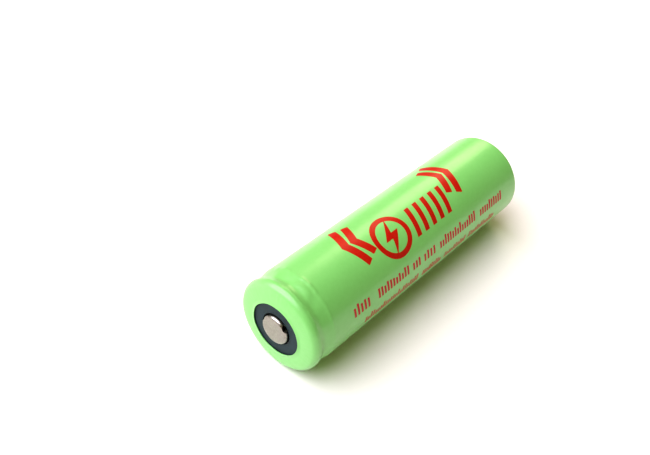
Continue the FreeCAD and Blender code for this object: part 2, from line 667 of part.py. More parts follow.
def build_roll():
    """Two electrodes and two separators wound together, and the tape that closes the roll."""
    turns = number("roll_turns")
    upper_edge = TAB_TURN + number("upper_tab_spread") / 360
    lower_edge = turns - 1 + TAB_TURN - number("lower_tab_spread") / 360
    wound_sheet("cathode_sheet", "cathode_slot", "cathode_thickness", "cathode_margin",
                upper_edge, turns - 1)
    wound_sheet("anode_sheet", "anode_slot", "anode_thickness", "anode_margin", 0.5, lower_edge)
    for side in ("inner", "outer"):
        wound_sheet(f"{side}_separator", f"{side}_separator_slot", "separator_thickness", "0",
                    0, turns)
    wound_sheet("roll_closing_tape", "0", "closing_tape", "closing_tape_margin", turns, turns + 1)


def finished_pieces():
    """Return every piece, after checking that each object of the document is sound."""
    doc.recompute()
    for item in doc.Objects:
        if "Invalid" in item.State or "Error" in item.State:
            raise RuntimeError(f"{item.Label} is {item.State}")
    pieces = [item for item in doc.Objects
              if item.TypeId == "PartDesign::Body" or item.TypeId == "Part::Feature"]
    for piece in pieces:
        if piece.Shape.isNull() or not piece.Shape.isValid() or len(piece.Shape.Solids) != 1:
            raise RuntimeError(f"{piece.Label} is not one sound solid")
    return pieces


def main():
    for build in (build_can, build_sleeve, build_button, build_cap, build_burst_disc,
                  build_interrupter, build_gasket, build_insulators, build_pin,
                  build_upper_tab, build_lower_tab, build_roll):
        build()
    os.makedirs("parts", exist_ok=True)
    for piece in finished_pieces():
        piece.Shape.exportStep(f"parts/{piece.Label}.step")
        print(f"{piece.Label}: {piece.Shape.Volume:.2f} cubic mm")


main()
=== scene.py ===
"""Looks of a round lithium-ion cell that lies on its side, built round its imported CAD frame."""

from __future__ import annotations

import logging
import math
from dataclasses import dataclass, field
from enum import Enum
from typing import Any, Callable, Sequence

import bmesh
import bpy
import numpy as np
from mathutils import Matrix, Vector

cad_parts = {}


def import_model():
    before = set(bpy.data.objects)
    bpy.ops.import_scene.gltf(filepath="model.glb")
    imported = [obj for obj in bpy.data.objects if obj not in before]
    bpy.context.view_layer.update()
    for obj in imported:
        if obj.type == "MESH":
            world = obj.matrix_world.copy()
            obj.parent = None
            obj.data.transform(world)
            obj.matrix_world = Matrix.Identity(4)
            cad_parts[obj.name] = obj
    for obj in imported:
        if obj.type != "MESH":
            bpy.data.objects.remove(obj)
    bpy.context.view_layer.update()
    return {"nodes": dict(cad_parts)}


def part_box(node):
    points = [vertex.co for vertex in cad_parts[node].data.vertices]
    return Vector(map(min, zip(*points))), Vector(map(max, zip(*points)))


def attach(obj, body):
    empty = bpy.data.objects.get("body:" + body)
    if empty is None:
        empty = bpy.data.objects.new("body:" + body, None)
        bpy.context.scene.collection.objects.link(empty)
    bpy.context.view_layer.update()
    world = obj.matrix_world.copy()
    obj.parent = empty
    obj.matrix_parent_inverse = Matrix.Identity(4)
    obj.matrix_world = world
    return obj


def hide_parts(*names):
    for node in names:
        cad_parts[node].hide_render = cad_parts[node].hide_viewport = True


LOG = logging.getLogger("round_cell")
MM = 0.001
BODY = "root"
TURNED_STEPS = 192
Colour = tuple[float, float, float, float]
Pair = tuple[float, float]
Triple = tuple[float, float, float]
Wave = Callable[[np.ndarray], np.ndarray]
Press = Callable[[np.ndarray, np.ndarray, np.ndarray], np.ndarray]


def linear(hex_code: str) -> Colour:
    """Turn an sRGB hex colour into the linear colour that a shader takes.

    Args:
        hex_code: six hex digits with a leading #.

    Returns:
        Linear red, green, blue and an alpha of 1.
    """
    parts = [int(hex_code[i:i + 2], 16) / 255 for i in (1, 3, 5)]
    red, green, blue = (p / 12.92 if p <= 0.04045 else ((p + 0.055) / 1.055) ** 2.4 for p in parts)
    return (red, green, blue, 1.0)


def add(tree: bpy.types.NodeTree, kind: str, sockets: dict[Any, Any] | None = None,
        **settings: Any) -> bpy.types.Node:
    """Add a node with its settings, its input values and its links.

    Args:
        tree: the tree that gets the node.
        kind: the node's type.
        sockets: input name or number, and the value or the output socket that feeds it.
        **settings: the node's own properties.

    Returns:
        The new node.
    """
    made = tree.nodes.new(kind)
    for name, value in settings.items():
        setattr(made, name, value)
    for key, value in (sockets or {}).items():
        if isinstance(value, bpy.types.NodeSocket):
            tree.links.new(value, made.inputs[key])
        else:
            made.inputs[key].default_value = value
    return made


# ---------------------------------------------------------------- finishes


class Stock(Enum):
    """Whether light meets a metal, with the metallic value that goes with it."""

    DIELECTRIC = 0.0
    METAL = 1.0


class Grain(Enum):
    """Which way the grain of a finish runs."""

    EVEN = "even"
    TURNED = "round the cell's axis"


@dataclass(frozen=True)
class Finish:
    """One real material: its common name, its two tones, its polish and its grain.

    Attributes:
        name: the material's name.
        tone: main sRGB colour.
        second: sRGB colour that the grain brings in.
        share: how much of the second tone the strongest grain shows, from 0 to 1.
        roughness: middle roughness.
        spread: how far the roughness strays with the grain.
        grain: grain size in millimetres along X, Y and Z, or along the axis, outwards and round it.
        relief: height of the grain in millimetres.
        stock: metal or not.
        run: which way the grain runs.
        mottle: size in millimetres of a broad, faint change of tone.
        ior: index of refraction, which a metal leaves as it is.
        coat: weight of a clear gloss on top.
        coat_roughness: roughness of that gloss.
    """

    name: str
    tone: str
    second: str
    share: float
    roughness: float
    spread: float
    grain: Triple
    relief: float
    stock: Stock = Stock.DIELECTRIC
    run: Grain = Grain.EVEN
    mottle: float = 8.0
    ior: float = 1.5
    coat: float = 0.0
    coat_roughness: float = 0.1

    def build(self, axis_height: float) -> bpy.types.Material:
        """Make the node material.

        Args:
            axis_height: height of the cell's axis in metres.

        Returns:
            The material.
        """
        material = bpy.data.materials.new(self.name)
        material.use_nodes = True
        tree = material.node_tree
        tree.nodes.clear()
        place = add(tree, "ShaderNodeTexCoord").outputs["Object"]
        run = self.round_axis(tree, place, axis_height) if self.run is Grain.TURNED else place
        fine = self.noise(tree, run, self.grain, 5.0)
        broad = self.noise(tree, place, (self.mottle,) * 3, 2.0)
        shader = add(tree, "ShaderNodeBsdfPrincipled", {
            "Base Color": self.colour(tree, fine, broad),
            "Roughness": self.polish(tree, fine, broad),
            "Normal": add(tree, "ShaderNodeBump", {
                "Height": fine, "Distance": self.relief * MM, "Strength": 1.0}).outputs["Normal"],
            "Metallic": self.stock.value,
            "Coat Weight": self.coat,
            "Coat Roughness": self.coat_roughness,
        })
        if self.stock is Stock.DIELECTRIC:
            shader.inputs["IOR"].default_value = self.ior
        add(tree, "ShaderNodeOutputMaterial", {"Surface": shader.outputs["BSDF"]})
        return material

    def round_axis(self, tree: bpy.types.NodeTree, place: bpy.types.NodeSocket,
                   axis_height: float) -> bpy.types.NodeSocket:
        """Give coordinates along the axis, outwards from it and a little round it.

        Args:
            tree: the material's tree.
            place: Object coordinates.
            axis_height: height of the axis in metres.

        Returns:
            The turned coordinates.
        """
        split = add(tree, "ShaderNodeSeparateXYZ", {0: place})
        rise = add(tree, "ShaderNodeMath", {0: split.outputs["Z"], 1: axis_height},
                   operation="SUBTRACT")
        square = add(tree, "ShaderNodeMath", {0: split.outputs["Y"], 1: 2.0}, operation="POWER")
        total = add(tree, "ShaderNodeMath", {
            0: rise.outputs[0], 1: rise.outputs[0], 2: square.outputs[0]}, operation="MULTIPLY_ADD")
        out = add(tree, "ShaderNodeMath", {0: total.outputs[0]}, operation="SQRT")
        return add(tree, "ShaderNodeCombineXYZ", {
            "X": split.outputs["X"], "Y": out.outputs[0], "Z": split.outputs["Y"]}).outputs[0]

    def noise(self, tree: bpy.types.NodeTree, place: bpy.types.NodeSocket, size: Triple,
              detail: float) -> bpy.types.NodeSocket:
        """Make noise whose lumps have a real size.

        Args:
            tree: the material's tree.
            place: the coordinates.
            size: size of a lump along each coordinate in millimetres.
            detail: how many finer layers it has.

        Returns:
            A value from 0 to 1 around 0.5.
        """
        scaled = add(tree, "ShaderNodeMapping", {
            "Vector": place, "Scale": tuple(1 / (s * MM) for s in size)})
        return add(tree, "ShaderNodeTexNoise", {
            "Vector": scaled.outputs["Vector"], "Scale": 1.0, "Detail": detail,
            "Roughness": 0.55}).outputs["Fac"]

    def colour(self, tree: bpy.types.NodeTree, fine: bpy.types.NodeSocket,
               broad: bpy.types.NodeSocket) -> bpy.types.NodeSocket:
        """Mix the two tones by the fine and the broad noise together.

        Args:
            tree: the material's tree.
            fine: noise of the grain.
            broad: noise of the mottle.

        Returns:
            The mixed colour.
        """
        both = add(tree, "ShaderNodeMath", {0: fine, 1: broad}, operation="MULTIPLY")
        part = add(tree, "ShaderNodeMapRange", {
            "Value": both.outputs[0], "From Min": 0.12, "From Max": 0.42, "To Min": 0.0,
            "To Max": self.share})
        return add(tree, "ShaderNodeMix", {
            0: part.outputs["Result"], 6: linear(self.tone), 7: linear(self.second)},
            data_type="RGBA").outputs[2]

    def polish(self, tree: bpy.types.NodeTree, fine: bpy.types.NodeSocket,
               broad: bpy.types.NodeSocket) -> bpy.types.NodeSocket:
        """Let the roughness stray with both noises.

        Args:
            tree: the material's tree.
            fine: noise of the grain.
            broad: noise of the mottle.

        Returns:
            The roughness.
        """
        both = add(tree, "ShaderNodeMath", {0: fine, 1: broad}, operation="ADD")
        return add(tree, "ShaderNodeMapRange", {
            "Value": both.outputs[0], "From Min": 0.6, "From Max": 1.4,
            "To Min": self.roughness - self.spread, "To Max": self.roughness + self.spread,
        }).outputs["Result"]


# Blown PVC film, shrunk on with hot air: even colour, a soft gloss and hardly any grain.
SHRINK_FILM = Finish("pvc_shrink_film", "#8cd27c", "#83ca72", 0.5, 0.38, 0.05,
                     (0.9, 0.9, 0.9), 0.0012, mottle=9.0, ior=1.53, coat=0.5, coat_roughness=0.22)
# Flexographic ink on that film: opaque, a touch less glossy, a little thin in places.
PRINT_INK = Finish("flexographic_ink", "#b9150a", "#c43214", 0.75, 0.38, 0.06,
                   (0.35, 0.35, 0.35), 0.0015, mottle=3.0, ior=1.48)
# Vulcanised cotton fibre, punched from sheet: dull slate grey with short pressed fibres.
FIBRE = Finish("vulcanised_fibre", "#203236", "#344a4f", 0.8, 0.62, 0.08,
               (0.12, 0.4, 0.12), 0.006, mottle=1.6, ior=1.53)
# Deep-drawn steel, nickel plated and tumbled: warm silver with fine scratches round it.
NICKEL_STEEL = Finish("nickel_plated_steel", "#cfc7ba", "#a79f92", 0.55, 0.27, 0.07,
                      (1.2, 0.07, 1.6), 0.0012, Stock.METAL, Grain.TURNED, mottle=2.4)
# The same plated steel, stamped and barrel tumbled: a satin button with tiny dings.
TUMBLED_NICKEL = Finish("tumbled_nickel_plating", "#b1ada5", "#928e86", 0.5, 0.3, 0.06,
                        (0.3, 0.3, 0.3), 0.002, Stock.METAL, mottle=1.2)
# Aluminium stamped from rolled sheet: pale, with fine rolling lines one way.
ALUMINIUM = Finish("stamped_aluminium", "#d6d8da", "#b9bcc0", 0.5, 0.34, 0.07,
                   (0.1, 1.8, 0.1), 0.002, Stock.METAL, mottle=3.0)
# Rolled nickel strip: warmer and duller than the aluminium, lined along its length.
NICKEL_STRIP = Finish("rolled_nickel_strip", "#c6beb0", "#a39b8d", 0.5, 0.36, 0.07,
                      (2.0, 0.1, 0.1), 0.002, Stock.METAL, mottle=3.0)
# Moulded polypropylene seals: milky and waxy, with a fine mould texture.
POLYPROPYLENE = Finish("moulded_polypropylene", "#e4e4dc", "#d8d8ce", 0.5, 0.4, 0.06,
                       (0.25, 0.25, 0.25), 0.004, mottle=2.0, ior=1.49)
# Stretched polyethylene separator: white, faintly silky, drawn out along its length.
SEPARATOR = Finish("stretched_polyethylene", "#f0f0ee", "#e2e2e0", 0.6, 0.48, 0.06,
                   (0.15, 1.5, 0.15), 0.002, mottle=3.0, ior=1.51)
# Calendered metal-oxide coating: dense dark grey powder pressed flat.
OXIDE_COATING = Finish("calendered_metal_oxide", "#2a2a2d", "#3a3a3e", 0.6, 0.7, 0.08,
                       (0.08, 0.08, 0.08), 0.003, mottle=1.5, ior=1.6)
# Calendered graphite coating: almost black with a slight metallic sheen of its flakes.
GRAPHITE_COATING = Finish("calendered_graphite", "#1c1c1e", "#323236", 0.6, 0.5, 0.08,
                          (0.06, 0.06, 0.06), 0.003, mottle=1.5, ior=1.7)
# Polyimide tape: clear amber film over what lies below.
POLYIMIDE = Finish("polyimide_tape", "#c3862a", "#a96f1d", 0.5, 0.22, 0.04,
                   (0.8, 0.8, 0.8), 0.001, mottle=4.0, ior=1.7, coat=0.4)
# Matt background paper: nearly white with a faint tooth.
STUDIO_PAPER = Finish("matt_background_paper", "#f8f7f2", "#f5f4ee", 0.5, 0.9, 0.04,
                      (0.8, 0.8, 0.8), 0.002, mottle=40.0, ior=1.4)


class Finishes:
    """Makes each material once and hands it out."""

    def __init__(self, axis_height: float) -> None:
        """Remember the height of the axis, in metres, that turned grain runs round."""
        self.axis_height = axis_height
        self.made: dict[str, bpy.types.Material] = {}

    def of(self, finish: Finish) -> bpy.types.Material:
        """Return the material of a finish, made on its first use."""
        if finish.name not in self.made:
            self.made[finish.name] = finish.build(self.axis_height)
        return self.made[finish.name]


# ---------------------------------------------------------------- shapes


@dataclass(frozen=True)
class Axis:
    """The cell's axis: it runs along X at a height in millimetres above the floor."""

    height: float

    def points(self, along: np.ndarray, out: np.ndarray, turn: np.ndarray) -> np.ndarray:
        """Place points given along, out from and round the axis.

        Args:
            along: X in millimetres.
            out: distance from the axis in millimetres.
            turn: angle in radians from straight up towards -Y.

        Returns:
            Points in metres, one row each.
        """
        along, out, turn = np.broadcast_arrays(along, out, turn)
        return MM * np.stack([along, -out * np.sin(turn), self.height + out * np.cos(turn)],
                             axis=-1).reshape(-1, 3)


def full_turn(steps: int) -> np.ndarray:
    """Even steps of angle in radians, once round the axis, as a row."""
    return np.linspace(0, 2 * math.pi, steps, endpoint=False)[None, :]


def apart(turn: np.ndarray, at: float) -> np.ndarray:
    """Smallest angle in radians, with its sign, from one direction round the axis to another."""
    return np.angle(np.exp(1j * (turn - at)))


def arc(centre: Pair, radius: float, start: float, end: float, steps: int) -> list[Pair]:
    """Points on an arc in an outline.

    Args:
        centre: its X and its distance from the axis, in millimetres.
        radius: in millimetres.
        start: angle in degrees from +X towards outwards.
        end: angle in degrees.
        steps: number of chords.

    Returns:
        Pairs of X and distance from the axis.
    """
    turns = np.radians(np.linspace(start, end, steps + 1))
    return [(centre[0] + radius * math.cos(t), centre[1] + radius * math.sin(t)) for t in turns]


def spaced(start: Pair, end: Pair, steps: int) -> list[Pair]:
    """Points on a straight run of an outline, without its two ends."""
    return [(start[0] + (end[0] - start[0]) * i / steps, start[1] + (end[1] - start[1]) * i / steps)
            for i in range(1, steps)]


def ripple(seed: int, low: int, high: int, count: int) -> Wave:
    """Make an uneven wave that closes on itself round the cell.

    Args:
        seed: fixes which waves it is made of.
        low: fewest waves round the cell.
        high: most waves round the cell.
        count: how many waves are laid over each other.

    Returns:
        A function of the angle that stays near -1 to 1.
    """
    rng = np.random.default_rng(seed)
    waves = rng.integers(low, high + 1, count)
    lags = rng.uniform(0, 2 * math.pi, count)
    sizes = rng.uniform(0.5, 1.0, count)
    sizes = sizes / np.sqrt((sizes ** 2).sum())

    def height(turn: np.ndarray) -> np.ndarray:
        """Height of the wave at an angle in radians."""
        turn = np.asarray(turn, float)
        return (sizes * np.sin(turn[..., None] * waves + lags)).sum(-1)

    return height


def ease(value: np.ndarray, low: float, high: float) -> np.ndarray:
    """Rise smoothly from 0 at low to 1 at high."""
    t = np.clip((np.asarray(value, float) - low) / (high - low), 0, 1)
    return t * t * (3 - 2 * t)


def lathe(points: np.ndarray, closed: bool) -> bmesh.types.BMesh:
    """Skin a grid of points, outline by outline, round the cell.

    Args:
        points: array of outline points by steps round by 3, in metres.
        closed: whether the outline's last point joins its first.

    Returns:
        A mesh with its poles merged and its faces outwards.
    """
    mesh = bmesh.new()
    rows, around, _ = points.shape
    grid = [[mesh.verts.new(points[i, j]) for j in range(around)] for i in range(rows)]
    for i in range(rows if closed else rows - 1):
        here, there = grid[i], grid[(i + 1) % rows]
        for j in range(around):
            k = (j + 1) % around
            mesh.faces.new((here[j], here[k], there[k], there[j]))
    bmesh.ops.remove_doubles(mesh, verts=mesh.verts[:], dist=1e-7)
    bmesh.ops.recalc_face_normals(mesh, faces=mesh.faces[:])
    return mesh


def mesh_data(name: str, mesh: bmesh.types.BMesh) -> bpy.types.Mesh:
    """Turn an edited mesh, which is used up, into mesh data.

    Args:
        name: the data's name.
        mesh: the edited mesh.

    Returns:
        The mesh data.
    """
    data = bpy.data.meshes.new(name)
    mesh.to_mesh(data)
    mesh.free()
    return data


def linked(name: str, data: bpy.types.ID) -> bpy.types.Object:
    """Make an object and link it to the scene.

    Args:
        name: the object's name.
        data: its mesh, camera or light.

    Returns:
        The object.
    """
    made = bpy.data.objects.new(name, data)
    bpy.context.scene.collection.objects.link(made)
    return made


def evaluated(helper: bpy.types.Object) -> bpy.types.Mesh:
    """Return an object's mesh as its modifiers leave it."""
    graph = bpy.context.evaluated_depsgraph_get()
    return bpy.data.meshes.new_from_object(helper.evaluated_get(graph))


def smooth(data: bpy.types.Mesh, crease: float) -> None:
    """Shade a mesh smooth, but for edges that fold more than crease degrees."""
    data.shade_smooth()
    data.set_sharp_from_angle(angle=math.radians(crease))


def finished(name: str, mesh: bmesh.types.BMesh, material: bpy.types.Material,
             crease: float = 32.0) -> bpy.types.Object:
    """Turn a mesh into a smooth-shaded piece at the origin.

    Args:
        name: the piece's name.
        mesh: its mesh in metres, which is used up.
        material: its material.
        crease: edges that fold more than this many degrees stay sharp.

    Returns:
        The piece.
    """
    data = mesh_data(name, mesh)
    data.materials.append(material)
    smooth(data, crease)
    return linked(name, data)


def turned(name: str, axis: Axis, outline: Sequence[Pair], material: bpy.types.Material,
           closed: bool = True, crease: float = 38.0,
           press: Press | None = None) -> bpy.types.Object:
    """Turn an outline round the axis into a smooth piece.

    Args:
        name: the piece's name.
        axis: the axis.
        outline: pairs of X and distance from the axis, in millimetres.
        material: the piece's material.
        closed: whether the outline's last point joins its first.
        crease: edges that fold more than this many degrees stay sharp.
        press: how far -X a point is pressed, from its X, its distance from the axis and its turn.

    Returns:
        The piece.
    """
    plain = np.array(outline)
    x, out, turn = plain[:, :1], plain[:, 1:], full_turn(TURNED_STEPS)
    if press:
        x = x - press(x, out, turn)
    grid = axis.points(x, out, turn).reshape(len(outline), TURNED_STEPS, 3)
    return finished(name, lathe(grid, closed), material, crease)


def report(piece: bpy.types.Object) -> None:
    """Log a piece's name and its number of triangles."""
    piece.data.calc_loop_triangles()
    LOG.info("%s: %d triangles", piece.name, len(piece.data.loop_triangles))


# ---------------------------------------------------------------- sleeve


@dataclass(frozen=True)
class Crease:
    """A crease or a band of dents round the film, uneven in its place and its height.

    Attributes:
        at: its middle, in millimetres from the film's face.
        reach: half its width in millimetres.
        sway: the wave that its middle follows, and how far in millimetres.
        plain: the height that it has all round, in millimetres.
        rough: each wave that its height follows, and how far in millimetres.
    """

    at: float
    reach: float
    sway: tuple[str, float]
    plain: float
    rough: tuple[tuple[str, float], ...]

    def height(self, along: np.ndarray, turn: np.ndarray, waves: dict[str, Wave]) -> np.ndarray:
        """Height of the crease over the plain film.

        Args:
            along: distance from the film's face in millimetres.
            turn: angle in radians from straight up towards -Y.
            waves: the film's uneven waves.

        Returns:
            Height in millimetres.
        """
        name, far = self.sway
        gap = (along - self.at - far * waves[name](turn)) / self.reach
        return np.exp(-gap ** 2) * (self.plain + sum(
            size * waves[wave](turn) for wave, size in self.rough))


@dataclass
class Sleeve:
    """Shrunk film over the can, folded over both ends, sunk and wrinkled over the groove.

    Lengths are in millimetres. The X of both ends and the radius come from the CAD box. A span,
    an in and an out are the two ends of a smooth step, measured from the film's face or its base,
    or out from the axis for what lies on an end.
    """

    axis: Axis
    face: float
    base: float
    radius: float
    wall: float = 0.1
    around: int = 384
    # both ends: openings, roundings, and cut edges that aren't quite round
    top_opening: float = 5.3
    base_opening: float = 7.2
    top_round: float = 1.02
    squareness: float = 2.2
    base_round: float = 1.12
    top_slide: float = 0.03
    base_slide: float = 0.075
    edge_pull: float = 0.035
    edge_steps: tuple[float, ...] = (0.03, 0.06, 0.1, 0.14, 0.18, 0.22, 0.28, 0.36)
    # the face: a thick cut edge that stands off the washer, a fall towards the rim, puckers
    face_span: Pair = (0.2, 1.3)
    bead: float = 0.07
    bead_reach: float = 0.3
    gape: float = 0.13
    gape_reach: float = 0.45
    crown: float = 0.52
    crown_span: Pair = (0.3, 2.2)
    crown_power: float = 2.5
    pucker: float = 0.008
    pucker_in: Pair = (5.6, 7.4)
    pucker_out: Pair = (8.2, 9.1)
    # the base: puckers, and film that lies closer further out
    base_span: Pair = (0.1, 0.9)
    base_pucker: float = 0.014
    base_pucker_out: Pair = (8.7, 9.15)
    base_sag: float = 0.02
    base_sag_in: Pair = (7.4, 7.9)
    # the side: the dip over the groove with its creases, long shallow waves, two packing folds
    side_in: Pair = (0.4, 1.22)
    side_out: Pair = (0.5, 1.6)
    dip: float = 0.3
    dip_from: float = 1.5
    dip_deepest: float = 3.05
    dip_to: float = 5.3
    dip_bow: float = 0.4
    dip_blur: tuple[float, ...] = (-0.2, -0.1, 0.0, 0.1, 0.2)
    groove_span: Pair = (1.3, 6.2)
    creases: tuple[Crease, ...] = (
        Crease(3.5, 0.85, ("groove_low", 0.3), 0.0, (("groove_mid", 0.05), ("groove_low", 0.07))),
        Crease(5.3, 0.36, ("groove_mid", 0.15), 0.032,
               (("groove_edge", 0.016), ("groove_mid", 0.022), ("groove_low", 0.02))),
        Crease(1.65, 0.32, ("groove_edge", 0.08), 0.016, (("groove_mid", 0.028),)))
    body_wave: float = 0.008
    body_in: Pair = (5.2, 8.0)
    # each wave round the body, its share, and its beats and lag along it in radians
    body_beats: tuple[tuple[str, float, float, float], ...] = (
        ("body_a", 1.0, 7.0, 0.6), ("body_b", 1.0, 11.0, -math.pi / 2), ("body_c", 0.6, 19.0, 0.0))
    fold: float = 0.012
    fold_reach: float = 0.22
    # where the two folds lie, in degrees from straight up towards -Y
    fold_turns: Pair = (112.0, -68.0)
    fold_in: Pair = (5.4, 6.6)
    # radians from straight down over which the film lies plain, as it rests on the floor there
    rest_in: Pair = (0.03, 0.25)
    waves: dict[str, Wave] = field(init=False)

    def __post_init__(self) -> None:
        """Fix the uneven waves of the film."""
        self.waves = {
            "groove_low": ripple(11, 3, 9, 5), "groove_mid": ripple(12, 9, 22, 7),
            "groove_edge": ripple(13, 14, 40, 7), "pucker": ripple(14, 30, 62, 9),
            "top_edge": ripple(15, 2, 9, 5), "base_edge": ripple(16, 2, 8, 5),
            "base_pucker": ripple(17, 26, 54, 9), "body_a": ripple(18, 2, 6, 4),
            "body_b": ripple(19, 2, 7, 4), "body_c": ripple(20, 3, 9, 4),
        }

    def sink(self, along: np.ndarray) -> np.ndarray:
        """Depth of the plain dip over the groove.

        Args:
            along: X in millimetres.

        Returns:
            Depth in millimetres, averaged over a short way along.
        """
        total = 0.0
        for shift in self.dip_blur:
            u = np.asarray(along, float) - self.face + shift
            t = np.clip((u - self.dip_deepest) / (self.dip_to - self.dip_deepest), 0, 1)
            total = total + ease(u, self.dip_from, self.dip_deepest) * (
                1 - t * (1 - self.dip_bow + self.dip_bow * t))
        return self.dip * total / len(self.dip_blur)

    def lift(self, along: np.ndarray, turn: np.ndarray) -> np.ndarray:
        """How far the film stands off its plain shape on the cell's side.

        Args:
            along: X in millimetres.
            turn: angle in radians from straight up towards -Y.

        Returns:
            Lift in millimetres, positive outwards.
        """
        u = np.asarray(along, float) - self.face
        v = u / (self.base - self.face)
        sunk = sum(crease.height(u, turn, self.waves) for crease in self.creases)
        slow = 0.5 * sum(share * self.waves[name](turn) * np.cos(beats * v + lag)
                         for name, share, beats, lag in self.body_beats)
        body = self.body_wave * (1 + np.clip(slow, -1, 1)) * ease(u, *self.body_in)
        fold = sum(np.exp(-(apart(turn, math.radians(at)) * self.radius / self.fold_reach) ** 2)
                   for at in self.fold_turns)
        rest = ease(np.abs(apart(turn, math.pi)), *self.rest_in)
        return (sunk + body + self.fold * fold * ease(u, *self.fold_in)) * rest

    def on_film(self, along: np.ndarray, turn: np.ndarray, height: np.ndarray) -> np.ndarray:
        """Lay points on the film's side.

        Args:
            along: distance in millimetres from the film's face towards the base.
            turn: angle in radians from straight up towards -Y.
            height: height over the film in millimetres.

        Returns:
            Points in metres.
        """
        place = self.face + np.asarray(along, float)
        out = self.radius - self.sink(place) + self.lift(place, turn) + height
        return self.axis.points(place, out, turn)

    def relief(self, x: np.ndarray, r: np.ndarray,
               turn: np.ndarray) -> tuple[np.ndarray, np.ndarray, np.ndarray]:
        """How the film strays from its plain outline.

        Args:
            x: X of the outline's points in millimetres, as a column.
            r: their distance from the axis in millimetres, as a column.
            turn: angles round the cell in radians, as a row.

        Returns:
            Millimetres off the outline, of further thickness, and of slide out from the axis.
        """
        wave = self.waves
        near, far, past = x - self.face, self.base - x, r - self.top_opening
        at_face = 1 - ease(near, *self.face_span)
        at_base = 1 - ease(far, *self.base_span)
        on_side = ease(near, *self.side_in) * ease(far, *self.side_out)
        off = self.lift(x, turn) * on_side - self.sink(x) * (r > self.radius - 1e-6)
        # film gathered over the two rims lies in small radial puckers
        off = off + self.pucker * wave["pucker"](turn) * at_face * ease(r, *self.pucker_in) * (
            1 - ease(r, *self.pucker_out))
        # the cut edge shrank most, so it's the thickest
        lip = at_face * self.bead * np.exp(-(past / self.bead_reach) ** 2)
        off = off + lip + at_face * self.gape * np.exp(-(past / self.gape_reach) ** 2)
        off = off + self.base_pucker * wave["base_pucker"](turn) * at_base * (
            1 - ease(r, *self.base_pucker_out))
        off = np.where(at_base > 0, np.minimum(off, 0.0), off) - (
            self.base_sag * at_base * ease(r, *self.base_sag_in))
        slide = self.top_slide * wave["top_edge"](turn) * at_face * (
            1 - ease(r, self.top_opening, self.radius - self.top_round))
        slide = slide + self.base_slide * wave["base_edge"](turn) * at_base * (
            1 - ease(r, self.base_opening, self.radius - self.base_round))
        return off, lip, slide

    def shoulder(self, centre: Pair, steps: int) -> list[Pair]:
        """Points of the top rounding, which stands out a little further than an arc.

        Args:
            centre: its X and its distance from the axis, in millimetres.
            steps: number of chords.

        Returns:
            Pairs of X and distance from the axis.
        """
        spots = []
        for turn in np.radians(np.linspace(180, 90, steps + 1)):
            share = abs(math.cos(turn)) ** self.squareness + math.sin(turn) ** self.squareness
            reach = self.top_round * share ** (-1 / self.squareness)
            spots.append((centre[0] + reach * math.cos(turn), centre[1] + reach * math.sin(turn)))
        return spots

    def outline(self) -> tuple[list[Pair], list[bool]]:
        """Lay out the film's outside from the top opening to the base opening.

        Returns:
            Pairs of X and distance from the axis, and which of them the inside keeps: all at the
            ends, and every third along the side.
        """
        face, base, side = self.face, self.base, self.radius
        start, body = face + self.top_round, base - self.base_round
        top, foot = side - self.top_round, side - self.base_round
        groove_from, groove_to = (face + edge for edge in self.groove_span)
        near_edge = [self.top_opening + step for step in self.edge_steps]
        points = [*((face, r) for r in near_edge),
                  *spaced((face, near_edge[-1]), (face, top), 12),
                  *self.shoulder((start, top), 22),
                  *spaced((start, side), (groove_from, side), 3),
                  *((x, side) for x in np.linspace(groove_from, groove_to, 46)),
                  *spaced((groove_to, side), (body, side), 46),
                  *arc((body, foot), self.base_round, 90, 0, 12),
                  *spaced((base, foot), (base, self.base_opening), 7),
                  (base, self.base_opening + self.edge_steps[0])]
        return points, [i < 46 or i % 3 == 0 or i > len(points) - 22 for i in range(len(points))]

    def build(self, finishes: Finishes) -> bpy.types.Object:
        """Make the film with its thickness.

        Args:
            finishes: where materials come from.

        Returns:
            The piece.
        """
        points, keep = self.outline()
        plain = np.array(points)
        ahead = np.gradient(plain, axis=0)
        ahead /= np.linalg.norm(ahead, axis=1, keepdims=True)
        normal = np.stack([-ahead[:, 1], ahead[:, 0]], axis=1)
        x, r, turn = plain[:, :1], plain[:, 1:], full_turn(self.around)
        off, lip, slide = self.relief(x, r, turn)
        out_share = np.clip((r - self.top_opening) / (self.radius - self.top_opening), 0, 1)
        fall = self.crown * (1 - ease(x - self.face, *self.crown_span)) * (
            out_share ** self.crown_power)

        def skin(depth: float | np.ndarray, rows: np.ndarray) -> np.ndarray:
            """Points of one face of the film.

            Args:
                depth: depth below the film's outside in millimetres.
                rows: numbers of the outline's points that it takes.

            Returns:
                Points in metres, by outline point and step round.
            """
            along = (x + fall + normal[:, :1] * (off - depth))[rows]
            out = (r + normal[:, 1:] * (off - depth) + slide)[rows]
            return self.axis.points(along, out, turn).reshape(len(rows), self.around, 3)

        every = np.arange(len(points))
        inner = every[np.array(keep)]
        grid = np.concatenate([skin(0.0, every), skin(self.wall / 2, every[-1:]),
                               skin(self.wall + lip, inner[::-1]), skin(self.wall / 2, every[:1])])
        for row in (len(every), len(grid) - 1):
            grid[row] = self.pulled(grid[row])
        piece = finished("shrink_sleeve", lathe(grid, closed=True),
                         finishes.of(SHRINK_FILM), crease=60)
        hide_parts("heat_shrink_sleeve")
        return piece

    def pulled(self, ring: np.ndarray) -> np.ndarray:
        """Draw the middle of a cut edge in towards the axis, so that the edge is round.

        Args:
            ring: its points in metres.

        Returns:
            The moved points.
        """
        middle = np.array([0.0, self.axis.height * MM])
        off = ring[:, 1:] - middle
        out = np.hypot(off[:, :1], off[:, 1:])
        return np.hstack([ring[:, :1], middle + off * (out - self.edge_pull * MM) / out])


# ---------------------------------------------------------------- print


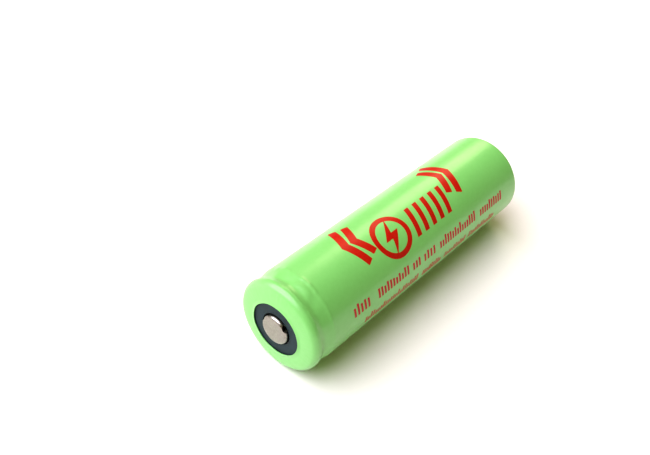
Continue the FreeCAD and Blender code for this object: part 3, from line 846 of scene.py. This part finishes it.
def stamp(shapes: Sequence[Sequence[Pair]], film: float, reach: float = 0.34) -> bmesh.types.BMesh:
    """Make flat shapes with the thickness of the ink, fine enough to bend round the cell.

    Args:
        shapes: closed outlines, in millimetres along and round the cell.
        film: thickness of the ink in millimetres.
        reach: longest edge in millimetres.

    Returns:
        A mesh in millimetres whose Z is the height over the film.
    """
    mesh = bmesh.new()
    for shape in shapes:
        mesh.faces.new([mesh.verts.new((u, v, film)) for u, v in shape])
    bmesh.ops.triangulate(mesh, faces=mesh.faces[:])
    for _ in range(7):
        long = [e for e in mesh.edges if e.calc_length() > reach]
        if not long:
            break
        bmesh.ops.subdivide_edges(mesh, edges=long, cuts=1)
        bmesh.ops.triangulate(mesh, faces=mesh.faces[:])
    bmesh.ops.remove_doubles(mesh, verts=mesh.verts[:], dist=1e-5)
    # faces look down, so the walls drawn downwards from them look outwards
    for face in mesh.faces:
        face.normal_update()
        if face.normal.z > 0:
            face.normal_flip()
    made = bmesh.ops.extrude_face_region(mesh, geom=mesh.faces[:])
    for item in made["geom"]:
        if isinstance(item, bmesh.types.BMVert):
            item.co.z = -film / 2
    return mesh


def ring_band(centre: Pair, outer: float, inner: float, steps: int) -> list[list[Pair]]:
    """Divide a flat ring into four-sided shapes.

    Args:
        centre: its middle in millimetres.
        outer: outer radius in millimetres.
        inner: inner radius in millimetres.
        steps: number of shapes.

    Returns:
        Their outlines.
    """
    turns = np.linspace(0, 2 * math.pi, steps + 1)
    spot = [[(centre[0] + r * math.cos(t), centre[1] + r * math.sin(t)) for t in turns]
            for r in (outer, inner)]
    return [[spot[0][i], spot[0][i + 1], spot[1][i + 1], spot[1][i]] for i in range(steps)]


def stamping_tree() -> bpy.types.NodeTree:
    """Build the Geometry Nodes tree that sets one mark on each point of a row.

    Returns:
        A tree with the inputs Stamp, Shortest, Growth, Seed and Ink.
    """
    tree = bpy.data.node_groups.new("marks_in_a_row", "GeometryNodeTree")
    face = tree.interface
    face.new_socket("Geometry", in_out="INPUT", socket_type="NodeSocketGeometry")
    for name, kind, value in (("Stamp", "NodeSocketObject", None),
                              ("Shortest", "NodeSocketFloat", 1.0),
                              ("Growth", "NodeSocketFloat", 0.0),
                              ("Seed", "NodeSocketInt", 1),
                              ("Ink", "NodeSocketMaterial", None)):
        socket = face.new_socket(name, in_out="INPUT", socket_type=kind)
        if value is not None:
            socket.default_value = value
    face.new_socket("Geometry", in_out="OUTPUT", socket_type="NodeSocketGeometry")
    given = add(tree, "NodeGroupInput").outputs
    mark = add(tree, "GeometryNodeObjectInfo", {"Object": given["Stamp"]})
    tall = add(tree, "FunctionNodeRandomValue", {
        2: given["Shortest"], 3: 1.0, "Seed": given["Seed"]}, data_type="FLOAT")
    index = add(tree, "GeometryNodeInputIndex")
    grown = add(tree, "ShaderNodeMath", {
        0: index.outputs[0], 1: given["Growth"], 2: 1.0}, operation="MULTIPLY_ADD")
    height = add(tree, "ShaderNodeMath", {0: tall.outputs[1], 1: grown.outputs[0]},
                 operation="MULTIPLY")
    size = add(tree, "ShaderNodeCombineXYZ", {"X": 1.0, "Y": height.outputs[0], "Z": 1.0})
    set_out = add(tree, "GeometryNodeInstanceOnPoints", {
        "Points": given["Geometry"], "Instance": mark.outputs["Geometry"],
        "Scale": size.outputs[0]})
    real = add(tree, "GeometryNodeRealizeInstances", {"Geometry": set_out.outputs[0]})
    inked = add(tree, "GeometryNodeSetMaterial", {
        "Geometry": real.outputs[0], "Material": given["Ink"]})
    add(tree, "NodeGroupOutput", {"Geometry": inked.outputs[0]})
    return tree


class Aim(Enum):
    """Which end of the cell a chevron points to."""

    BUTTON = -1
    BASE = 1


@dataclass(frozen=True)
class Chevrons:
    """A pair of chevrons: where they point, the inner one's middle, and half its height."""

    aim: Aim
    middle: Pair
    half: float


@dataclass(frozen=True)
class TickRow:
    """A row of ticks: its tallest ticks' middle, its size, its seed, and its groups' ends."""

    middle: float
    scale: float
    seed: int
    groups: tuple[Pair, ...]


@dataclass
class Print:
    """Red print on the film: a bolt in a ring, gauge bars and chevrons, rows of ticks, two signs.

    Places are in millimetres from the film's face and round the film from straight up.
    """

    sleeve: Sleeve
    film: float = 0.014
    ring_middle: Pair = (26.2, 3.7)
    ring_radius: float = 4.5
    ring_stroke: float = 1.1
    bolt: tuple[Pair, ...] = (
        (1.3, -3.6), (-2.1, 0.5), (-0.25, 0.5), (-1.3, 3.6), (2.1, -0.6), (0.25, -0.6))
    gauge_from: float = 32.7
    gauge_step: float = 2.5
    gauge_bars: int = 5
    gauge_top: float = 1.0
    gauge_foot: float = 6.9
    gauge_half: float = 0.6
    gauge_lean: float = 0.7
    chevrons: tuple[Chevrons, ...] = (
        Chevrons(Aim.BUTTON, (20.15, 0.1), 4.2), Chevrons(Aim.BASE, (45.6, -0.6), 4.4))
    chevron_step: float = 2.3
    chevron_growth: float = 0.27
    chevron_reach: float = 2.0
    chevron_stroke: float = 1.4
    chevron_notch: float = 1.3
    chevron_cut: Pair = (0.25, 0.5)
    tick_height: float = 2.35
    tick_stroke: float = 0.52
    tick_step: float = 0.86
    tick_soft: float = 0.08
    tick_shortest: float = 0.55
    rows: tuple[TickRow, ...] = (
        TickRow(11.0, 1.0, 5, ((10.8, 14.6), (17.6, 26.2), (28.0, 29.8), (31.6, 34.6),
                               (36.8, 48.6), (51.0, 58.6))),
        TickRow(14.9, 0.85, 9, ((14.0, 29.4), (31.4, 37.0), (38.8, 45.6), (47.4, 56.4))))
    plus_at: float = 10.5
    minus_at: float = 58.0
    sign_turn: float = -100.0
    sign_half: float = 1.6
    sign_thin: float = 0.35

    def stamped(self, spots: list[Pair], shape: bmesh.types.BMesh, ink: bpy.types.Material,
                tree: bpy.types.NodeTree, **inputs: float) -> bmesh.types.BMesh:
        """Set a mark on each spot through the Geometry Nodes tree.

        Args:
            spots: middles of the marks in millimetres.
            shape: the mark's mesh, which is used up.
            ink: its material.
            tree: the stamping tree.
            **inputs: values for the tree's other inputs, by name.

        Returns:
            The flat marks as one mesh.
        """
        mark = linked("mark", mesh_data("mark", shape))
        row = linked("row", bpy.data.meshes.new("row"))
        row.data.from_pydata([(u, v, 0.0) for u, v in spots], [], [])
        modifier = row.modifiers.new("marks", "NODES")
        modifier.node_group = tree
        values = {"Stamp": mark, "Ink": ink, **inputs}
        for item in tree.interface.items_tree:
            if item.in_out == "INPUT" and item.name in values:
                modifier[item.identifier] = values[item.name]
        made = bmesh.new()
        made.from_mesh(evaluated(row))
        row.modifiers.clear()
        for helper in (row, mark):
            bpy.data.objects.remove(helper)
        return made

    def laid(self, name: str, parts: Sequence[bmesh.types.BMesh],
             ink: bpy.types.Material) -> bpy.types.Object:
        """Wrap flat prints round the film and join them into one piece.

        Args:
            name: the piece's name.
            parts: flat meshes in millimetres, which are used up.
            ink: the material.

        Returns:
            The piece.
        """
        whole = bmesh.new()
        for part in parts:
            data = mesh_data("flat", part)
            whole.from_mesh(data)
            bpy.data.meshes.remove(data)
        flat = np.array([v.co[:] for v in whole.verts])
        turn = flat[:, 1] / self.sleeve.radius
        placed = self.sleeve.on_film(flat[:, 0], turn, flat[:, 2])
        for vert, spot in zip(whole.verts, placed):
            vert.co = spot
        # round the film runs towards -Y, which mirrors the flat print
        bmesh.ops.reverse_faces(whole, faces=whole.faces[:])
        piece = finished(name, whole, ink, crease=50)
        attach(piece, BODY)
        return piece

    def chevron(self, half: float, aim: Aim) -> bmesh.types.BMesh:
        """Make one chevron round its own middle.

        Args:
            half: half its height in millimetres.
            aim: which end of the cell it points to.

        Returns:
            Its mesh in millimetres.
        """
        way, reach, stroke = aim.value, self.chevron_reach, self.chevron_stroke
        wide, tall = self.chevron_cut
        upper = [(way * reach, 0.0), (0.0, half), (-way * wide, half),
                 (-way * stroke, half - tall), (way * (reach - stroke * self.chevron_notch), 0.0)]
        return stamp([upper, [(u, -v) for u, v in upper]], self.film)

    def emblem(self, ink: bpy.types.Material, tree: bpy.types.NodeTree) -> bpy.types.Object:
        """Print the ring, the bolt, the gauge bars and the chevrons on both sides.

        Args:
            ink: the material.
            tree: the stamping tree.

        Returns:
            The piece.
        """
        u, v = self.ring_middle
        inner = self.ring_radius - self.ring_stroke
        tall, middle = ((self.gauge_foot + way * self.gauge_top) / 2 for way in (-1, 1))
        lean, half = self.gauge_lean, self.gauge_half
        bar = stamp([[(lean - half, -tall), (lean + half, -tall), (half - lean, tall),
                      (-half - lean, tall)]], self.film)
        bars = [(self.gauge_from + i * self.gauge_step, middle) for i in range(self.gauge_bars)]
        parts = [stamp([[(u + a, v + b) for a, b in self.bolt]], self.film),
                 stamp(ring_band((u, v), self.ring_radius, inner, 72), self.film),
                 self.stamped(bars, bar, ink, tree)]
        for pair in self.chevrons:
            at, across = pair.middle
            spots = [(at + pair.aim.value * self.chevron_step * i, across) for i in range(2)]
            parts.append(self.stamped(spots, self.chevron(pair.half, pair.aim), ink, tree,
                                      Growth=self.chevron_growth))
        return self.laid("printed_emblem", parts, ink)

    def tick_row(self, row: TickRow, ink: bpy.types.Material,
                 tree: bpy.types.NodeTree) -> bmesh.types.BMesh:
        """Print a row of ticks, which stand on one line.

        Args:
            row: the row.
            ink: the material.
            tree: the stamping tree.

        Returns:
            The flat row.
        """
        step, tall = self.tick_step * row.scale, self.tick_height * row.scale
        spots = []
        for start, end in row.groups:
            count = max(2, round((end - start) / step) + 1)
            spots += [(u, row.middle + tall / 2) for u in np.linspace(start, end, count)]
        soft, half = self.tick_soft, self.tick_stroke * row.scale / 2
        shape = [(-half + soft, -tall), (half - soft, -tall), (half, -tall + soft), (half, -soft),
                 (half - soft, 0.0), (-half + soft, 0.0), (-half, -soft), (-half, -tall + soft)]
        return self.stamped(spots, stamp([shape], self.film), ink, tree,
                            Shortest=self.tick_shortest, Seed=row.seed)

    def signs(self, ink: bpy.types.Material) -> bpy.types.Object:
        """Print a plus near the button and a minus near the base, on the far side.

        Args:
            ink: the material.

        Returns:
            The piece.
        """
        v = math.radians(self.sign_turn) * self.sleeve.radius
        long, thin = self.sign_half, self.sign_thin
        # known fault: stamp divides a face that has no normal yet, which this outline alone
        # doesn't bear, so the plus comes out with its corners filled and its faces folded over
        cross = [(-long, -thin), (-thin, -thin), (-thin, -long), (thin, -long), (thin, -thin),
                 (long, -thin), (long, thin), (thin, thin), (thin, long), (-thin, long),
                 (-thin, thin), (-long, thin)]
        dash = [(-thin, -long), (thin, -long), (thin, long), (-thin, long)]
        parts = [stamp([[(at + a, v + b) for a, b in shape]], self.film)
                 for at, shape in ((self.plus_at, cross), (self.minus_at, dash))]
        return self.laid("printed_polarity_signs", parts, ink)

    def build(self, finishes: Finishes) -> list[bpy.types.Object]:
        """Make all the print.

        Args:
            finishes: where materials come from.

        Returns:
            Its pieces.
        """
        ink, tree = finishes.of(PRINT_INK), stamping_tree()
        ticks = [self.tick_row(row, ink, tree) for row in self.rows]
        return [self.emblem(ink, tree), self.laid("printed_tick_rows", ticks, ink),
                self.signs(ink)]


# ---------------------------------------------------------------- metal and fibre


@dataclass
class Washer:
    """Fibre washer under the film's face, bent down where the film presses, with worn edges."""

    axis: Axis
    top: float
    foot: float
    hole: float = 3.15
    radius: float = 7.7
    bend: float = 5.5
    fall: float = 0.16
    edge: float = 0.06

    def build(self, finishes: Finishes) -> bpy.types.Object:
        """Make the washer.

        Args:
            finishes: where materials come from.

        Returns:
            The piece.
        """
        e, top, foot = self.edge, self.top, self.foot
        rim = top + self.fall
        outline = [*arc((top + e, self.hole + e), e, 270, 180, 4),
                   *spaced((top, self.hole), (top, self.bend), 8), (top, self.bend),
                   *spaced((top, self.bend), (rim, self.radius), 4),
                   *arc((rim + e, self.radius - e), e, 180, 90, 4),
                   *arc((foot - e, self.radius - e), e, 90, 0, 4),
                   *arc((foot - e, self.hole + e), e, 0, -90, 4)]
        piece = turned("fibre_washer", self.axis, outline, finishes.of(FIBRE))
        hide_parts("top_insulator_washer")
        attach(piece, BODY)
        return piece


@dataclass
class Button:
    """Pressed steel button with a flange, rounded rims, a slightly dished top and gas holes."""

    axis: Axis
    top: float
    foot: float
    radius: float = 2.95
    flange: float = 4.4
    metal: float = 0.2
    top_round: float = 0.56
    foot_round: float = 0.16
    rim: float = 0.05
    dish: float = 0.035
    dish_reach: float = 1.9
    vents: int = 3
    vent_width: float = 1.46
    vent_height: float = 0.92
    vent_rise: float = 0.68
    vent_turn: float = 48.0
    punch_length: float = 1.2

    def outline(self) -> list[Pair]:
        """Lay out the sheet's section.

        Returns:
            Pairs of X and distance from the axis, from the outside's middle to the inside's.
        """
        t, m, r, rim = self.top, self.metal, self.radius, self.rim
        shelf = self.foot - m
        big, small = self.top_round, self.foot_round
        return [(t + self.dish, 0.0), *[(t + self.dish * (1 - ease(q, 0.0, self.dish_reach)), q)
                                        for q in np.linspace(0.25, 2.0, 8)],
                *arc((t + big, r - big), big, 180, 90, 10),
                *spaced((t + big, r), (shelf - small, r), 3),
                *arc((shelf - small, r + small), small, 270, 360, 5),
                *spaced((shelf, r + small), (shelf, self.flange), 3),
                *arc((shelf + rim, self.flange - rim), rim, 180, 90, 3),
                *arc((self.foot - rim, self.flange - rim), rim, 90, 0, 3),
                (self.foot, r - m + 0.1), (self.foot - 0.1, r - m),
                *arc((t + big, r - big), big - m, 90, 180, 5), (t + m + self.dish, 0.0)]

    def build(self, finishes: Finishes) -> bpy.types.Object:
        """Make the button and punch its gas holes.

        Args:
            finishes: where materials come from.

        Returns:
            The piece.
        """
        piece = turned("button_terminal", self.axis, self.outline(), finishes.of(TUMBLED_NICKEL),
                       closed=False)
        punch = self.punch()
        cut = piece.modifiers.new("gas_holes", "BOOLEAN")
        cut.object, cut.operation, cut.solver = punch, "DIFFERENCE", "EXACT"
        data = evaluated(piece)
        piece.modifiers.clear()
        piece.data = data
        data.name = piece.name
        bpy.data.objects.remove(punch)
        smooth(data, 30)
        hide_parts("positive_button")
        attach(piece, BODY)
        return piece

    def punch(self) -> bpy.types.Object:
        """Make the oval punches of all the gas holes.

        Returns:
            One helper object.
        """
        mesh = bmesh.new()
        along = Vector((1, 0, 0))
        for i in range(self.vents):
            turn = math.radians(self.vent_turn + 360 / self.vents * i)
            out = Vector((0, -math.sin(turn), math.cos(turn)))
            middle = Vector((self.foot - self.vent_rise, 0, self.axis.height)) + out * self.radius
            turned_to = Matrix((along.cross(out), along, out)).transposed().to_4x4()
            place = Matrix.Translation(middle * MM) @ turned_to
            made = bmesh.ops.create_cone(mesh, cap_ends=True, segments=32, radius1=0.5 * MM,
                                         radius2=0.5 * MM, depth=self.punch_length * MM)
            bmesh.ops.transform(mesh, verts=made["verts"], matrix=place @ Matrix.Diagonal(
                (self.vent_width, self.vent_height, 1.0, 1.0)))
        return linked("punch", mesh_data("punch", mesh))


@dataclass
class Can:
    """Drawn steel can: rolled groove, crimped lip, and a scored line and weld dents in its base."""

    axis: Axis
    base: float
    top: float
    radius: float = 9.1
    wall: float = 0.25
    floor: float = 0.3
    base_round: float = 1.0
    crimp: float = 1.2
    lip: float = 6.6
    groove: float = 62.15
    groove_depth: float = 0.95
    groove_reach: float = 2.05
    groove_power: float = 1.6
    vent_line: float = 6.2
    vent_depth: float = 0.06
    vent_reach: float = 0.15
    dents: int = 3
    dent_depth: float = 0.045
    dent_reach: float = 0.33
    dent_ring: float = 0.62
    dent_turn: float = 20.0
    dent_field: float = 2.0

    def groove_wall(self, inset: float) -> list[Pair]:
        """Lay out the rolled groove from the base side to the lip side.

        Args:
            inset: depth in millimetres below the can's outside.

        Returns:
            Pairs of X and distance from the axis.
        """
        middle = self.base - self.groove
        return [(middle - self.groove_reach * s, self.radius - inset - self.groove_depth * 0.5 * (
            1 + math.cos(math.pi * abs(s) ** self.groove_power))) for s in np.linspace(-1, 1, 25)]

    def dented(self, x: np.ndarray, out: np.ndarray, turn: np.ndarray) -> np.ndarray:
        """Depth of the weld dents in the middle of the base.

        Args:
            x: X in millimetres.
            out: distance from the axis in millimetres.
            turn: angle in radians from straight up towards -Y.

        Returns:
            Depth in millimetres.
        """
        on_base = (np.abs(x - self.base) < 1e-6) & (out <= self.dent_field)
        total = 0.0
        for i in range(self.dents):
            at = math.radians(self.dent_turn + 360 / self.dents * i)
            gap = np.hypot(out * np.sin(turn) - self.dent_ring * math.sin(at),
                           out * np.cos(turn) - self.dent_ring * math.cos(at))
            total = total + on_base * self.dent_depth * np.exp(-(gap / self.dent_reach) ** 2)
        return total

    def build(self, finishes: Finishes) -> bpy.types.Object:
        """Make the can.

        Args:
            finishes: where materials come from.

        Returns:
            The piece.
        """
        b, t, r, w = self.base, self.top, self.radius, self.wall
        line, reach, deep = self.vent_line, self.vent_reach, self.vent_depth
        heel, lap = self.base_round, self.crimp
        heart = (b, self.dent_field)
        outline = [(b, 0.0), *spaced((b, 0.0), heart, 12), heart,
                   *spaced(heart, (b, line - reach - 0.06), 4),
                   (b, line - reach - 0.03), (b - deep * 0.15, line - reach),
                   (b - deep * 0.9, line - 0.03), (b - deep, line), (b - deep * 0.9, line + 0.03),
                   (b - deep * 0.15, line + reach), (b, line + reach + 0.03),
                   *spaced((b, line + reach), (b, r - heel), 4),
                   *arc((b - heel, r - heel), heel, 0, 90, 10),
                   *self.groove_wall(0.0),
                   *arc((t + lap, r - lap), lap, 90, 180, 10),
                   (t, self.lip), (t + w, self.lip),
                   *arc((t + lap, r - lap), lap - w, 180, 90, 8),
                   *self.groove_wall(w)[::-1],
                   *arc((b - heel, r - heel), heel - w, 90, 0, 6),
                   (b - self.floor, r - heel - 0.2), (b - self.floor, 0.0)]
        piece = turned("steel_can", self.axis, outline, finishes.of(NICKEL_STEEL), closed=False,
                       crease=32, press=self.dented)
        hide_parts("cell_can")
        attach(piece, BODY)
        return piece


# ---------------------------------------------------------------- inside and studio


@dataclass
class Core:
    """The CAD nodes with their real finishes; the hidden inner ones keep their CAD shapes."""

    nodes: dict[str, bpy.types.Object]
    finishes_by_node: tuple[tuple[str, Finish], ...] = (
        ("positive_cap", TUMBLED_NICKEL), ("centre_pin", NICKEL_STEEL),
        ("burst_disc", ALUMINIUM), ("cid_contact_plate", ALUMINIUM), ("positive_tab", ALUMINIUM),
        ("negative_tab", NICKEL_STRIP), ("cid_insulator_ring", POLYPROPYLENE),
        ("crimp_gasket", POLYPROPYLENE), ("upper_insulator_disc", FIBRE),
        ("lower_insulator_disc", FIBRE), ("cathode_sheet", OXIDE_COATING),
        ("anode_sheet", GRAPHITE_COATING), ("inner_separator", SEPARATOR),
        ("outer_separator", SEPARATOR), ("positive_tab_tape", POLYIMIDE),
        ("roll_closing_tape", POLYIMIDE), ("heat_shrink_sleeve", SHRINK_FILM),
        ("top_insulator_washer", FIBRE), ("positive_button", TUMBLED_NICKEL),
        ("cell_can", NICKEL_STEEL))

    def dress(self, finishes: Finishes) -> None:
        """Give every CAD node its finish through its material slots.

        Args:
            finishes: where materials come from.
        """
        for name, finish in self.finishes_by_node:
            node = self.nodes[name]
            if not node.material_slots:
                node.data.materials.append(finishes.of(finish))
            for slot in node.material_slots:
                slot.material = finishes.of(finish)
            LOG.info("%s: %s", name, finish.name)


@dataclass
class Studio:
    """Pale paper floor and backdrop, a broad high key light, a weak rim light, warm fill, camera.

    Places are in millimetres, and the camera's place is from the middle of the film's face. The
    floor's reach, from its middle to its edge, and the camera's clipping are in metres.
    """

    face: Triple
    camera_from_face: Triple = (-66.47, -55.50, 105.38)
    right: Triple = (0.6642, -0.7392, 0.1111)
    up: Triple = (0.4535, 0.5167, 0.7263)
    lens: float = 42.9
    sensor: float = 36.0
    clip: Pair = (0.005, 20.0)
    key_place: Triple = (-390.0, 325.0, 620.0)
    key_spread: float = 72.0
    key_strength: float = 3.6
    key_tone: str = "#f3f1ff"
    fill_strength: float = 0.2
    fill_tone: str = "#ffe8b4"
    rim_place: Triple = (420.0, 250.0, 350.0)
    rim_size: float = 260.0
    rim_power: float = 0.5
    rim_tone: str = "#fff4d2"
    backdrop_tone: str = "#f7f6f2"
    floor_reach: float = 12.0
    floor_drop: float = 0.02

    def camera(self) -> None:
        """Make the camera and set it as the scene's."""
        data = bpy.data.cameras.new("camera")
        data.lens, data.sensor_width = self.lens, self.sensor
        data.clip_start, data.clip_end = self.clip
        camera = linked("camera", data)
        right, up = Vector(self.right).normalized(), Vector(self.up).normalized()
        back = right.cross(up).normalized()
        turn = Matrix((right, back.cross(right), back)).transposed().to_4x4()
        place = (Vector(self.face) + Vector(self.camera_from_face)) * MM
        camera.matrix_world = Matrix.Translation(place) @ turn
        bpy.context.scene.camera = camera

    def floor(self, finishes: Finishes) -> None:
        """Make the paper floor just under the cell.

        Args:
            finishes: where materials come from.
        """
        mesh = bmesh.new()
        bmesh.ops.create_grid(mesh, x_segments=2, y_segments=2, size=self.floor_reach,
                              matrix=Matrix.Translation((0, 0, -self.floor_drop * MM)))
        finished("paper_floor", mesh, finishes.of(STUDIO_PAPER))

    def lights(self) -> None:
        """Make the key light, the rim light, the fill and the backdrop."""
        key = bpy.data.lights.new("key", "SUN")
        key.angle, key.energy = math.radians(self.key_spread), self.key_strength
        rim = bpy.data.lights.new("rim", "AREA")
        rim.shape, rim.size, rim.energy = "DISK", self.rim_size * MM, self.rim_power
        for data, spot, tone in ((key, self.key_place, self.key_tone),
                                 (rim, self.rim_place, self.rim_tone)):
            data.color = linear(tone)[:3]
            lamp = linked(data.name, data)
            lamp.location = Vector(spot) * MM
            lamp.rotation_euler = (-lamp.location).to_track_quat("-Z", "Y").to_euler()
        world = bpy.data.worlds.new("fill")
        bpy.context.scene.world = world
        world.use_nodes = True
        tree = world.node_tree
        tree.nodes.clear()
        glow = add(tree, "ShaderNodeBackground", {
            "Color": linear(self.fill_tone), "Strength": self.fill_strength})
        # past the floor's edge there's a pale backdrop, which sheds no light of its own
        pale = add(tree, "ShaderNodeBackground", {"Color": linear(self.backdrop_tone)})
        seen = add(tree, "ShaderNodeMixShader", {
            0: add(tree, "ShaderNodeLightPath").outputs["Is Camera Ray"],
            1: glow.outputs[0], 2: pale.outputs[0]})
        add(tree, "ShaderNodeOutputWorld", {"Surface": seen.outputs[0]})
        view = bpy.context.scene.view_settings
        view.view_transform, view.look = "Standard", "High Contrast"


def main() -> None:
    logging.basicConfig(level=logging.INFO, format="%(name)s: %(message)s")
    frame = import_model()
    low, high = (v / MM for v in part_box("heat_shrink_sleeve"))
    axis = Axis((low.z + high.z) / 2)
    studio = Studio((low.x, 0.0, axis.height))
    studio.camera()
    finishes = Finishes(axis.height * MM)
    Core(frame["nodes"]).dress(finishes)
    sleeve = Sleeve(axis, face=low.x, base=high.x, radius=(high.y - low.y) / 2)
    film = sleeve.build(finishes)
    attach(film, BODY)
    washer = Washer(axis, *(v.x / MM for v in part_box("top_insulator_washer")))
    button = Button(axis, *(v.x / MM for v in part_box("positive_button")))
    top, base = (v.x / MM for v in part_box("cell_can"))
    can = Can(axis, base=base, top=top)
    made = [film, washer.build(finishes), button.build(finishes), can.build(finishes),
            *Print(sleeve).build(finishes)]
    for piece in made:
        report(piece)
    studio.floor(finishes)
    studio.lights()


if __name__ == "__main__":
    main()
